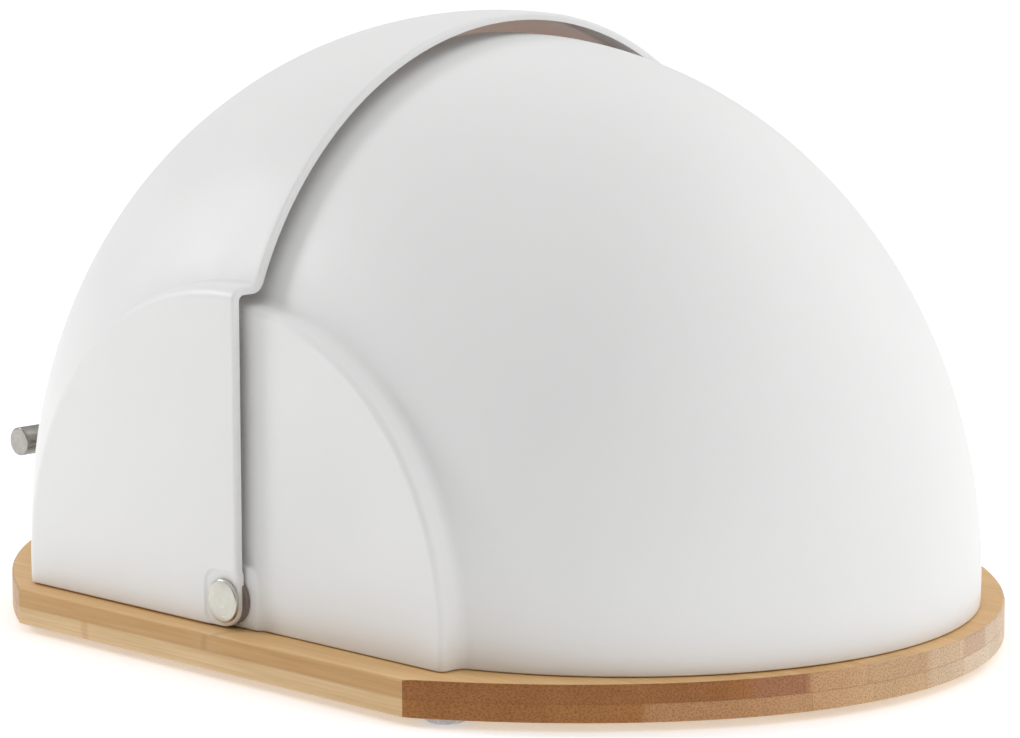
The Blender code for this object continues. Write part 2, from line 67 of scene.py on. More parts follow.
def makeCamera():
    azimuth = math.radians(viewpoint["azimuth"])
    elevation = math.radians(viewpoint["elevation"])
    back = Vector((math.sin(azimuth) * math.cos(elevation),
                   -math.cos(azimuth) * math.cos(elevation),
                   math.sin(elevation)))
    data = bpy.data.cameras.new("camera")
    camera = bpy.data.objects.new("camera", data)
    bpy.context.scene.collection.objects.link(camera)
    x, y, z = viewpoint["lookAt"]
    camera.location = Vector((x, hinge.y + y, z)) + back * viewpoint["distance"]
    camera.rotation_mode = "QUATERNION"
    roll = Quaternion((0, 0, 1), math.radians(viewpoint["roll"]))
    camera.rotation_quaternion = back.to_track_quat("Z", "Y") @ roll
    data.sensor_width = 36
    data.lens = viewpoint["lens"]
    data.shift_x, data.shift_y = viewpoint["shift"]
    data.clip_end = 30
    bpy.context.scene.camera = camera
    return back


cameraBack = makeCamera()
print("camera set")


# small tools for node trees
def startMaterial(name):
    made = bpy.data.materials.new(name)
    made.use_nodes = True
    return made, made.node_tree, made.node_tree.nodes["Principled BSDF"]


def feed(tree, socket, value):
    if isinstance(value, bpy.types.NodeSocket):
        tree.links.new(value, socket)
    else:
        socket.default_value = value


def calc(tree, operation, first, second=0.0, third=None):
    node = tree.nodes.new("ShaderNodeMath")
    node.operation = operation
    feed(tree, node.inputs[0], first)
    feed(tree, node.inputs[1], second)
    if third is not None:
        feed(tree, node.inputs[2], third)
    return node.outputs[0]


def spread(tree, value, low, high, newLow=0.0, newHigh=1.0, soft=True):
    node = tree.nodes.new("ShaderNodeMapRange")
    node.interpolation_type = "SMOOTHSTEP" if soft else "LINEAR"
    for socket, number in zip(node.inputs, (value, low, high, newLow, newHigh)):
        feed(tree, socket, number)
    return node.outputs[0]


def blendColours(tree, factor, first, second, how="MIX"):
    node = tree.nodes.new("ShaderNodeMix")
    node.data_type = "RGBA"
    node.blend_type = how
    feed(tree, node.inputs[0], factor)
    feed(tree, node.inputs[6], first)
    feed(tree, node.inputs[7], second)
    return node.outputs[2]


def shades(tree, factor, stops):
    node = tree.nodes.new("ShaderNodeValToRGB")
    ramp = node.color_ramp
    while len(ramp.elements) < len(stops):
        ramp.elements.new(0.5)
    for element, (place, colour) in zip(ramp.elements, stops):
        element.position = place
        element.color = (*colour, 1)
    feed(tree, node.inputs[0], factor)
    return node.outputs[0]


def onPiece(tree):
    place = tree.nodes.new("ShaderNodeTexCoord").outputs["Object"]
    split = tree.nodes.new("ShaderNodeSeparateXYZ")
    tree.links.new(place, split.inputs[0])
    return place, split.outputs


def stretched(tree, x, y, z):
    node = tree.nodes.new("ShaderNodeCombineXYZ")
    for socket, value in zip(node.inputs, (x, y, z)):
        feed(tree, socket, value)
    return node.outputs[0]


def noise(tree, place, scale, detail=2.0, roughness=0.5):
    node = tree.nodes.new("ShaderNodeTexNoise")
    tree.links.new(place, node.inputs["Vector"])
    node.inputs["Scale"].default_value = scale
    node.inputs["Detail"].default_value = detail
    node.inputs["Roughness"].default_value = roughness
    return node.outputs["Fac"]


def chance(tree, place):
    node = tree.nodes.new("ShaderNodeTexWhiteNoise")
    node.noise_dimensions = "3D"
    tree.links.new(place, node.inputs["Vector"])
    return node.outputs["Value"]


def relief(tree, shader, height, strength, depth):
    node = tree.nodes.new("ShaderNodeBump")
    node.inputs["Strength"].default_value = strength
    node.inputs["Distance"].default_value = depth
    tree.links.new(height, node.inputs["Height"])
    tree.links.new(node.outputs[0], shader.inputs["Normal"])


# finishes
paintLook = {
    "light": (0.850, 0.852, 0.845),
    "shade": (0.828, 0.830, 0.825),
    "roughness": (0.40, 0.50),
    "peelPerMetre": 1100,      # fine orange peel of a sprayed and baked powder
    "peelDepth": 0.05 * mm,
}


def makePaint():
    made, tree, shader = startMaterial("satinWhitePowderCoat")
    place = onPiece(tree)[0]
    cloud = noise(tree, place, 11, 3, 0.55)
    colour = shades(tree, cloud, ((0.3, paintLook["shade"]), (0.7, paintLook["light"])))
    speck = spread(tree, noise(tree, place, 2300, 1), 0.62, 0.80)
    colour = blendColours(tree, calc(tree, "MULTIPLY", speck, 0.05), colour, (0.70, 0.70, 0.69, 1))
    tree.links.new(colour, shader.inputs["Base Color"])
    low, high = paintLook["roughness"]
    wear = noise(tree, place, 37, 3)
    tree.links.new(spread(tree, wear, 0.3, 0.7, low, high), shader.inputs["Roughness"])
    peel = noise(tree, place, paintLook["peelPerMetre"], 2, 0.45)
    relief(tree, shader, peel, 0.35, paintLook["peelDepth"])
    shader.inputs["Specular IOR Level"].default_value = 0.42
    return made


bambooLook = {
    "stripWidth": 24.6 * mm,
    "firstJoint": 5.6 * mm,
    "layerSlip": 3.0 * mm,         # the lower layer's joints don't line up with the upper layer's
    "upperLong": ((0.580, 0.325, 0.120), (0.700, 0.425, 0.178), (0.790, 0.520, 0.250)),
    "lowerLong": ((0.640, 0.430, 0.215), (0.760, 0.545, 0.305), (0.830, 0.640, 0.400)),
    # sawn ends from the right corner leftwards: heat-darkened blocks first, then natural ones
    "upperEnds": (
        (0.00, (0.385, 0.152, 0.040)),
        (0.280, (0.375, 0.146, 0.040)),
        (0.292, (0.385, 0.162, 0.078)),
        (0.350, (0.385, 0.165, 0.080)),
        (0.357, (0.560, 0.315, 0.155)),
        (0.45, (0.620, 0.395, 0.220)),
        (0.53, (0.650, 0.430, 0.255)),
        (0.545, (0.740, 0.540, 0.360)),
        (0.61, (0.720, 0.520, 0.345)),
        (0.62, (0.590, 0.410, 0.275)),
        (0.68, (0.590, 0.410, 0.275)),
        (0.69, (0.740, 0.580, 0.430)),
        (1.00, (0.660, 0.440, 0.260)),
    ),
    "lowerEnds": (
        (0.00, (0.390, 0.160, 0.042)),
        (0.176, (0.405, 0.168, 0.048)),
        (0.184, (0.520, 0.270, 0.118)),
        (0.30, (0.570, 0.310, 0.145)),
        (0.352, (0.600, 0.350, 0.175)),
        (0.45, (0.650, 0.415, 0.225)),
        (0.53, (0.680, 0.455, 0.265)),
        (0.545, (0.735, 0.540, 0.360)),
        (0.70, (0.760, 0.620, 0.470)),
        (1.00, (0.660, 0.440, 0.260)),
    ),
    "bundlesPerMetre": 1150,
    "knuckleEvery": 0.21,
    "glueLine": 0.20 * mm,
}


def makeBamboo():
    made, tree, shader = startMaterial("oiledBambooBlocks")
    place, (x, y, z) = onPiece(tree)
    low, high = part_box("base_board")
    middle = (low[2] + high[2]) / 2
    upper = calc(tree, "GREATER_THAN", z, middle)
    layerSlip = bambooLook["layerSlip"]
    slip = calc(tree, "MULTIPLY_ADD", upper, -layerSlip, bambooLook["firstJoint"] + layerSlip)
    across = calc(tree, "DIVIDE", calc(tree, "ADD", x, slip), bambooLook["stripWidth"])
    strip = calc(tree, "FLOOR", across)
    tone = chance(tree, stretched(tree, strip, upper, 3.0))
    other = chance(tree, stretched(tree, strip, upper, 11.0))

    # fibres run along the strips, so the same bundles are dots on the sawn ends and streaks elsewhere
    slowY = calc(tree, "MULTIPLY", y, 0.035)
    nudged = calc(tree, "MULTIPLY_ADD", tone, 0.7, z)
    bundle = tree.nodes.new("ShaderNodeTexVoronoi")
    bundle.voronoi_dimensions = "2D"
    tree.links.new(stretched(tree, x, nudged, 0.0), bundle.inputs["Vector"])
    bundle.inputs["Scale"].default_value = bambooLook["bundlesPerMetre"]
    dots = spread(tree, bundle.outputs["Distance"], 0.36, 0.16)
    fibrePlace = stretched(tree, x, slowY, nudged)
    fibre = noise(tree, fibrePlace, 640, 4, 0.6)
    broad = noise(tree, fibrePlace, 150, 3, 0.5)
    patchy = noise(tree, place, 55, 3, 0.55)

    # long grain
    grain = calc(tree, "ADD", calc(tree, "MULTIPLY", fibre, 0.60), calc(tree, "MULTIPLY", broad, 0.40))
    grain = calc(tree, "ADD", grain, calc(tree, "MULTIPLY_ADD", tone, 0.20, -0.10))
    layers = []
    for key in ("lowerLong", "upperLong"):
        dark, plain, pale = bambooLook[key]
        layers.append(shades(tree, grain, ((0.26, dark), (0.50, plain), (0.74, pale))))
    longGrain = blendColours(tree, upper, layers[0], layers[1])
    along = calc(tree, "DIVIDE", y, bambooLook["knuckleEvery"])
    along = calc(tree, "ADD", along, calc(tree, "MULTIPLY", other, 7.0))
    wobble = calc(tree, "MULTIPLY", noise(tree, place, 130, 2), 0.035)
    turn = calc(tree, "FRACT", calc(tree, "ADD", along, wobble))
    fromKnuckle = calc(tree, "ABSOLUTE", calc(tree, "SUBTRACT", turn, 0.5))
    knuckle = spread(tree, fromKnuckle, 0.014, 0.002)
    halo = spread(tree, fromKnuckle, 0.055, 0.010)
    longGrain = blendColours(tree, calc(tree, "MULTIPLY", halo, 0.28), longGrain, (0.74, 0.52, 0.28, 1))
    longGrain = blendColours(tree, calc(tree, "MULTIPLY", knuckle, 0.30), longGrain, (0.46, 0.24, 0.09, 1))
    longGrain = blendColours(tree, calc(tree, "MULTIPLY", dots, 0.13), longGrain, (0.46, 0.25, 0.10, 1))

    # sawn ends
    behind = calc(tree, "MULTIPLY_ADD", calc(tree, "GREATER_THAN", y, hinge.y), 2.0, -1.0)
    fromRight = spread(tree, calc(tree, "MULTIPLY", x, behind), high[0], low[0], 0, 1, False)
    layers = [shades(tree, fromRight, bambooLook[key]) for key in ("lowerEnds", "upperEnds")]
    endGrain = blendColours(tree, upper, layers[0], layers[1])
    blotch = calc(tree, "ADD", calc(tree, "MULTIPLY", patchy, 0.6), calc(tree, "MULTIPLY", tone, 0.4))
    stain = spread(tree, blotch, 0.25, 0.75, 0.0, 0.45)
    endGrain = blendColours(tree, stain, endGrain, (0.62, 0.56, 0.50, 1), "MULTIPLY")
    stain = calc(tree, "MULTIPLY", dots, 0.46)
    endGrain = blendColours(tree, stain, endGrain, (0.36, 0.22, 0.12, 1), "MULTIPLY")
    speckle = spread(tree, noise(tree, fibrePlace, 2100, 2), 0.40, 0.66)
    endGrain = blendColours(tree, calc(tree, "MULTIPLY", speckle, 0.06), endGrain, (1.0, 0.72, 0.42, 1))

    facing = tree.nodes.new("ShaderNodeSeparateXYZ")
    tree.links.new(tree.nodes.new("ShaderNodeNewGeometry").outputs["Normal"], facing.inputs[0])
    sawn = spread(tree, calc(tree, "ABSOLUTE", facing.outputs[1]), 0.16, 0.30)
    colour = blendColours(tree, sawn, longGrain, endGrain)

    # joints between the strips and the glue line between the layers
    joint = calc(tree, "ABSOLUTE", calc(tree, "SUBTRACT", calc(tree, "FRACT", across), 0.5))
    joint = spread(tree, joint, 0.490, 0.4985)
    glue = calc(tree, "ABSOLUTE", calc(tree, "SUBTRACT", z, middle))
    glue = spread(tree, glue, 2.0 * bambooLook["glueLine"], 0.4 * bambooLook["glueLine"])
    lines = calc(tree, "MAXIMUM", calc(tree, "MULTIPLY", joint, 0.30), calc(tree, "MULTIPLY", glue, 0.24))
    colour = blendColours(tree, lines, colour, (0.24, 0.11, 0.04, 1))
    tree.links.new(colour, shader.inputs["Base Color"])
    rough = calc(tree, "MULTIPLY_ADD", fibre, 0.16, 0.32)
    rough = calc(tree, "MULTIPLY_ADD", sawn, 0.12, rough)
    tree.links.new(rough, shader.inputs["Roughness"])
    height = calc(tree, "SUBTRACT", calc(tree, "MULTIPLY_ADD", dots, -0.25, fibre), lines)
    relief(tree, shader, height, 0.30, 0.10 * mm)
    shader.inputs["Specular IOR Level"].default_value = 0.26
    return made


metalLooks = {
    # the sawn and faced ends are a little lighter than the brushed round, partly from the two finishes and
    # partly painted: the round's dark colour stands in for the darker surroundings it reflects
    "brushedSteelBar": {"light": (0.300, 0.288, 0.262), "dark": (0.205, 0.195, 0.170), "rough": (0.22, 0.36),
                        "linesPerMetre": 3800, "depth": 0.020 * mm, "faceLightAndPaintedReflection": (0.430, 0.415, 0.390),
                        "faceDarkAndPaintedReflection": (0.330, 0.315, 0.290)},
    "satinNickelHead": {"light": (0.610, 0.595, 0.540), "dark": (0.560, 0.540, 0.480), "rough": (0.26, 0.34),
                        "linesPerMetre": 900, "depth": 0.004 * mm},
    "zincScrewSteel": {"light": (0.700, 0.690, 0.650), "dark": (0.520, 0.510, 0.475), "rough": (0.20, 0.34),
                       "linesPerMetre": 1700, "depth": 0.015 * mm},
}


def makeMetal(name, axis):
    # turned lines: rings round an axis, seen on the end faces and on the sides alike
    look = metalLooks[name]
    made, tree, shader = startMaterial(name)
    place, (x, y, z) = onPiece(tree)
    first = calc(tree, "SUBTRACT", y, axis[0])
    second = calc(tree, "SUBTRACT", z, axis[1])
    reach = calc(tree, "SQRT", calc(tree, "ADD", calc(tree, "MULTIPLY", first, first),
                                    calc(tree, "MULTIPLY", second, second)))
    slow = calc(tree, "MULTIPLY", z, 0.02)
    rings = noise(tree, stretched(tree, x, reach, slow), look["linesPerMetre"], 3, 0.65)
    cloud = noise(tree, place, 260, 3, 0.5)
    mixed = calc(tree, "MULTIPLY_ADD", rings, 0.6, calc(tree, "MULTIPLY", cloud, 0.4))
    colour = shades(tree, mixed, ((0.32, look["dark"]), (0.62, look["light"])))
    # painted reflection in part: the ends and the round get different colours by the way they face
    if "faceLightAndPaintedReflection" in look:
        facing = tree.nodes.new("ShaderNodeSeparateXYZ")
        tree.links.new(tree.nodes.new("ShaderNodeNewGeometry").outputs["Normal"], facing.inputs[0])
        facedEndsAndPaintedReflection = spread(tree, calc(tree, "ABSOLUTE", facing.outputs[0]), 0.60, 0.92)
        faces = shades(tree, mixed, ((0.32, look["faceDarkAndPaintedReflection"]), (0.62, look["faceLightAndPaintedReflection"])))
        colour = blendColours(tree, facedEndsAndPaintedReflection, colour, faces)
    tree.links.new(colour, shader.inputs["Base Color"])
    low, high = look["rough"]
    tree.links.new(spread(tree, mixed, 0.3, 0.7, high, low), shader.inputs["Roughness"])
    relief(tree, shader, rings, 0.5, look["depth"])
    shader.inputs["Metallic"].default_value = 1.0
    return made


# the flange's dark brown is partly the nylon's own colour and partly painted shade of the narrow gap between
# the lid and the rear shell's pad
bushingNylonAndGapShadeLook = {"light": (0.250, 0.195, 0.175), "dark": (0.165, 0.130, 0.118), "grainPerMetre": 1500}


def makeNylonAndGapShade():
    made, tree, shader = startMaterial("darkNylonAndPaintedGapShade")
    place = onPiece(tree)[0]
    grain = noise(tree, place, bushingNylonAndGapShadeLook["grainPerMetre"], 3, 0.6)
    colour = shades(tree, grain, ((0.3, bushingNylonAndGapShadeLook["dark"]), (0.7, bushingNylonAndGapShadeLook["light"])))
    tree.links.new(colour, shader.inputs["Base Color"])
    tree.links.new(spread(tree, grain, 0.3, 0.7, 0.52, 0.40), shader.inputs["Roughness"])
    relief(tree, shader, grain, 0.4, 0.03 * mm)
    return made


rubberLook = {"light": (0.800, 0.795, 0.840), "dark": (0.740, 0.735, 0.785)}


def makeRubber():
    made, tree, shader = startMaterial("clearBumperRubber")
    place = onPiece(tree)[0]
    cloud = noise(tree, place, 420, 3, 0.5)
    colour = shades(tree, cloud, ((0.3, rubberLook["dark"]), (0.7, rubberLook["light"])))
    tree.links.new(colour, shader.inputs["Base Color"])
    tree.links.new(spread(tree, cloud, 0.3, 0.7, 0.20, 0.32), shader.inputs["Roughness"])
    relief(tree, shader, noise(tree, place, 900, 1), 0.1, 0.02 * mm)
    shader.inputs["Transmission Weight"].default_value = 0.25
    shader.inputs["IOR"].default_value = 1.46
    return made


def middleOf(node):
    low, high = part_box(node)
    return Vector([(a + b) / 2 for a, b in zip(low, high)])


barMiddle = middleOf("handle_bar")
powderCoat = makePaint()
bamboo = makeBamboo()
barSteel = makeMetal("brushedSteelBar", (barMiddle.y, barMiddle.z))
headNickel = makeMetal("satinNickelHead", (hinge.y, hinge.z))
screwSteel = makeMetal("zincScrewSteel", (hinge.y, hinge.z))
nylonAndGapShade = makeNylonAndGapShade()
rubber = makeRubber()
print("finishes mixed")


# small tools for meshes
def toMesh(bm, name):
    mesh = bpy.data.meshes.new(name)
    bm.to_mesh(mesh)
    bm.free()
    return mesh


def blankMesh(bm, name):
    bmesh.ops.recalc_face_normals(bm, faces=bm.faces)
    return toMesh(bm, name)


def makePiece(bm, name, finish, body, stands=(), sharp=38):
    return dressPiece(blankMesh(bm, name), name, finish, body, stands, sharp)


def dressPiece(mesh, name, finish, body, stands=(), sharp=38):
    mesh.shade_smooth()
    mesh.set_sharp_from_angle(angle=math.radians(sharp))
    mesh.materials.clear()
    mesh.materials.append(finish)
    piece = bpy.data.objects.new(name, mesh)
    bpy.context.scene.collection.objects.link(piece)
    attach(piece, body)
    if stands:
        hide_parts(*stands)
    return piece


def finalMesh(item):
    # the mesh with its modifiers worked in, and the helper object gone
    depsgraph = bpy.context.evaluated_depsgraph_get()
    mesh = bpy.data.meshes.new_from_object(item.evaluated_get(depsgraph))
    bpy.data.objects.remove(item)
    return mesh


def helper(mesh, name):
    item = bpy.data.objects.new(name, mesh)
    bpy.context.scene.collection.objects.link(item)
    return item


def cutAway(mesh, cutterMesh, operation="DIFFERENCE"):
    item = helper(mesh, "blank")
    cutter = helper(cutterMesh, "cutter")
    step = item.modifiers.new("cut", "BOOLEAN")
    step.operation = operation
    step.solver = "EXACT"
    step.object = cutter
    result = finalMesh(item)
    bpy.data.objects.remove(cutter)
    return result


def rounded(corners, steps=5):
    # (radius, height, fillet) corners become (radius, height) points; the first and last stay as they are
    points = []
    for index, (radius, height, fillet) in enumerate(corners):
        here = Vector((radius, height))
        if not fillet or index in (0, len(corners) - 1):
            points.append(here)
            continue
        before = (Vector(corners[index - 1][:2]) - here).normalized()
        after = (Vector(corners[(index + 1) % len(corners)][:2]) - here).normalized()
        for step in range(steps + 1):
            t = step / steps
            points.append(here + before * fillet * (1 - t) ** 2 + after * fillet * t ** 2)
    return points


def lathe(points, ring=False, steps=72):
    # turned about +Z; a ring's outline closes on itself, a plain one starts and ends on the axis
    bm = bmesh.new()
    loops = []
    for radius, height in points:
        if radius < 1e-7:
            loops.append([bm.verts.new((0, 0, height))])
            continue
        loop = []
        for step in range(steps):
            angle = 2 * math.pi * step / steps
            loop.append(bm.verts.new((radius * math.cos(angle), radius * math.sin(angle), height)))
        loops.append(loop)
    pairs = list(zip(loops, loops[1:]))
    if ring:
        pairs.append((loops[-1], loops[0]))
    for first, second in pairs:
        for step in range(steps):
            after = (step + 1) % steps
            if len(first) == 1:
                bm.faces.new((first[0], second[step], second[after]))
            elif len(second) == 1:
                bm.faces.new((first[step], second[0], first[after]))
            else:
                bm.faces.new((first[step], second[step], second[after], first[after]))
    return bm


def turnedPlace(location, direction):
    # from the lathe's own +Z to a direction in the box's space
    turn = Vector((0, 0, 1)).rotation_difference(Vector(direction)).to_matrix().to_4x4()
    return Matrix.Translation(location) @ turn


def circle(radius, steps=32):
    angles = [2 * math.pi * i / steps for i in range(steps)]
    return [Vector((radius * math.cos(a), radius * math.sin(a))) for a in angles]


# pressed sheets: lid and rear shell
def crownArc(shape):
    # radius and centre height of the arc from one end of the crown to the other
    foot = shape["half"] - shape["step"]
    rise = shape["crown"] - shape["panel"]
    reach = (foot ** 2 + rise ** 2) / (2 * rise)
    return reach, shape["crown"] - reach


def domeRun(shape):
    # (x, radius, normal x, normal radius) over the crown, from one end panel's edge to the other's
    half, panel, corner, root = shape["half"], shape["panel"], shape["corner"], shape["root"]
    reach, centre = crownArc(shape)
    rootRadius = panel + root
    rootX = math.sqrt((reach + root) ** 2 - (rootRadius - centre) ** 2)
    meet = math.atan2(rootRadius - centre, rootX)
    run = []
    for step in range(9):
        angle = math.pi / 2 * step / 8
        run.append((half - corner + corner * math.cos(angle), panel - corner + corner * math.sin(angle),
                    math.cos(angle), math.sin(angle)))
    for step in range(8):
        angle = -math.pi / 2 + (meet - math.pi / 2) * step / 7
        run.append((rootX + root * math.cos(angle), rootRadius + root * math.sin(angle),
                    -math.cos(angle), -math.sin(angle)))
    other = [(-x, radius, -across, out) for x, radius, across, out in reversed(run)]
    crown = []
    for step in range(1, shape["crownSteps"]):
        angle = meet + (math.pi - 2 * meet) * step / shape["crownSteps"]
        across, out = math.cos(angle), math.sin(angle)
        crown.append((reach * across, centre + reach * out, across, out))
    return run + crown + other


def squareDistance(y, z, half, corner):
    # signed distance to a square with round corners round the hinge
    across = abs(y) - (half - corner)
    up = abs(z) - (half - corner)
    return math.hypot(max(across, 0), max(up, 0)) + min(max(across, up), 0) - corner


def padLift(shape, y, z):
    pad = shape["pad"]
    distance = squareDistance(y, z, pad["half"], pad["corner"])
    t = min(max((distance + pad["soft"]) / (2 * pad["soft"]), 0), 1)
    return pad["lift"] * (1 - t * t * (3 - 2 * t))


def spanAngles(shape, radius):
    # where a turned row starts and ends, as angles from straight ahead up over the top
    low = shape["low"] + shape["lowBend"]
    if shape["front"]:
        return math.asin(low / radius), math.acos(-(shape["edge"] - shape["bend"]) / radius)
    return math.acos(-(shape["edge"] + shape["bend"]) / radius), math.pi - math.asin(low / radius)


def endEdge(shape, upperZ, farY):
    # the end panel's open edges from the top down, round the corner and along the board:
    # (y, z, out y, out z, bend) where the sheet starts to turn in
    bend, lowBend, ear = shape["bend"], shape["lowBend"], shape["ear"]
    sign = 1 if shape["front"] else -1
    straightY = shape["edge"] - sign * bend
    low = shape["low"] + lowBend
    centreY = shape["edge"] - sign * ear
    centreZ = shape["low"] + ear
    points = []
    level = upperZ
    while True:
        level -= 1.0 * mm if level < 16 * mm else 4.0 * mm
        if level < centreZ + 0.5 * mm:
            break
        points.append((straightY, level, sign, 0, bend))
    for step in range(9):
        angle = math.pi / 2 * step / 8
        outY, outZ = sign * math.cos(angle), -math.sin(angle)
        here = math.hypot(bend * outY, lowBend * outZ)
        points.append((centreY + (ear - bend) * outY, centreZ + (ear - lowBend) * outZ,
                       bend * outY / here, lowBend * outZ / here, here))
    place = centreY
    while True:
        place -= sign * (1.0 * mm if abs(place) < 16 * mm else 4.0 * mm)
        if (place - farY) * sign < 1.5 * mm:
            break
        points.append((place, low, 0, -1, lowBend))
    return points


def padLines(shape, inside):
    # rounded-square lines on which the pad's shoulder is shaped, kept where the panel is
    pad = shape["pad"]
    lines = []
    for part in range(-3, 4):
        offset = pad["soft"] * part / 3
        corner = pad["corner"] + offset
        reach = pad["half"] - pad["corner"]
        loop = []
        for quarter, (signY, signZ) in enumerate(((1, 1), (-1, 1), (-1, -1), (1, -1))):
            for step in range(7):
                angle = math.pi / 2 * (quarter + step / 6)
                loop.append((signY * reach + corner * math.cos(angle),
                             signZ * reach + corner * math.sin(angle)))
        full = []
        for first, second in zip(loop, loop[1:] + loop[:1]):
            count = max(1, int(math.hypot(second[0] - first[0], second[1] - first[1]) / (1.5 * mm)))
            for step in range(count):
                t = step / count
                full.append((first[0] + (second[0] - first[0]) * t, first[1] + (second[1] - first[1]) * t))
        current = []
        for point in full + full[:1]:
            if inside(*point):
                current.append(point)
            elif current:
                lines.append(current)
                current = []
        if current:
            lines.append(current)
    return lines


def fillEnd(bm, shape, side, arcVerts, edgePoints):
    # the flat end panel, in triangles between its arc, its open edges, the pad and the pivot's hole
    sign = 1 if shape["front"] else -1
    straightY = shape["edge"] - sign * shape["bend"]
    low = shape["low"] + shape["bend"]
    ear = shape["ear"] - shape["bend"]
    rowRadius = shape["panel"] - shape["corner"]
    clear = 0.5 * mm

    def inside(y, z):
        fromEdge = (straightY - y) * sign
        if fromEdge < clear or z < low + clear or math.hypot(y, z) > rowRadius - clear:
            return False
        if fromEdge < ear and z < low + ear:
            return math.hypot(ear - fromEdge, low + ear - z) < ear - clear
        return math.hypot(y, z) > shape["hole"] + clear

    coords = [Vector((v.co.y, v.co.z)) for v in arcVerts]
    coords += [Vector(point[:2]) for point in edgePoints]
    count = len(coords)
    edges = [(i, (i + 1) % count) for i in range(count)]
    hole = circle(shape["hole"])
    edges += [(count + i, count + (i + 1) % len(hole)) for i in range(len(hole))]
    coords += hole
    for line in padLines(shape, inside):
        start = len(coords)
        coords += [Vector(point) for point in line]
        edges += [(start + i, start + i + 1) for i in range(len(line) - 1)]
    verts, _, faces, fromVerts, _, _ = geometry.delaunay_2d_cdt(coords, edges, [], 0, 1e-7, True)
    made = []
    edgeVerts = [None] * len(edgePoints)
    for place, sources in zip(verts, fromVerts):
        known = [i for i in sources if i < len(arcVerts)]
        if known:
            made.append(arcVerts[known[0]])
            continue
        x = side * (shape["half"] + padLift(shape, place.x, place.y))
        made.append(bm.verts.new((x, place.x, place.y)))
        for i in sources:
            if len(arcVerts) <= i < count:
                edgeVerts[i - len(arcVerts)] = made[-1]
    for face in faces:
        middle = sum((verts[i] for i in face), Vector((0, 0))) / len(face)
        if middle.length < shape["hole"] * 0.98:
            continue
        corners = [made[i] for i in face]
        if len(set(corners)) == 3:
            bm.faces.new(corners)
    return edgeVerts


def pressedSheet(shape):
    # outer skin first, then the turned edge all round, then the thickness
    bm = bmesh.new()
    run = domeRun(shape)
    rows = []
    for x, radius, across, out in run:
        start, end = spanAngles(shape, radius)
        row = []
        for step in range(shape["turnSteps"] + 1):
            angle = start + (end - start) * step / shape["turnSteps"]
            ahead, up = -math.cos(angle), math.sin(angle)
            vert = bm.verts.new((x, radius * ahead, radius * up))
            row.append((vert, Vector((across, out * ahead, out * up))))
        rows.append(row)
    for first, second in zip(rows, rows[1:]):
        for i in range(shape["turnSteps"]):
            bm.faces.new((first[i][0], second[i][0], second[i + 1][0], first[i + 1][0]))
    top, far = (-1, 0) if shape["front"] else (0, -1)
    ends = []
    for side, row in ((1, rows[0]), (-1, rows[-1])):
        arcVerts = [vert for vert, normal in row]
        if not shape["front"]:
            arcVerts = arcVerts[::-1]
        points = endEdge(shape, row[top][0].co.z, row[far][0].co.y)
        edgeVerts = fillEnd(bm, shape, side, arcVerts, points)
        ends.append([(vert, Vector((side, 0, 0)), Vector((0, point[2], point[3])), point[4])
                     for vert, point in zip(edgeVerts, points) if vert])
    straight = Vector((0, 1 if shape["front"] else -1, 0))
    down = Vector((0, 0, -1))
    loop = ends[0] + [(*row[far], down, shape["lowBend"]) for row in rows]
    loop += ends[1][::-1] + [(*row[top], straight, shape["bend"]) for row in rows[::-1]]
    rings = [[entry[0] for entry in loop]]
    for step in range(1, 6):
        angle = math.pi / 2 * step / 5
        along, drop = math.sin(angle), 1 - math.cos(angle)
        rings.append([bm.verts.new(vert.co + out * bend * along - normal * bend * drop)
                      for vert, normal, out, bend in loop])
    rings.append([bm.verts.new(vert.co + out * bend - normal * shape["lip"])
                  for vert, normal, out, bend in loop])
    for first, second in zip(rings, rings[1:]):
        for i in range(len(loop)):
            j = (i + 1) % len(loop)
            bm.faces.new((first[i], first[j], second[j], second[i]))
    bmesh.ops.translate(bm, verts=bm.verts, vec=hinge)
    bmesh.ops.recalc_face_normals(bm, faces=bm.faces)
    crownFace = max(bm.faces, key=lambda face: face.calc_center_median().z)
    if crownFace.normal.z < 0:
        bmesh.ops.reverse_faces(bm, faces=bm.faces)
    item = helper(toMesh(bm, shape["name"]), "sheetBlank")
    step = item.modifiers.new("thickness", "SOLIDIFY")
    step.thickness = shape["sheet"]
    step.offset = -1
    step.use_even_offset = True
    return finalMesh(item)


lidLow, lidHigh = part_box("lid")
shellLow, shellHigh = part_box("rear_shell")

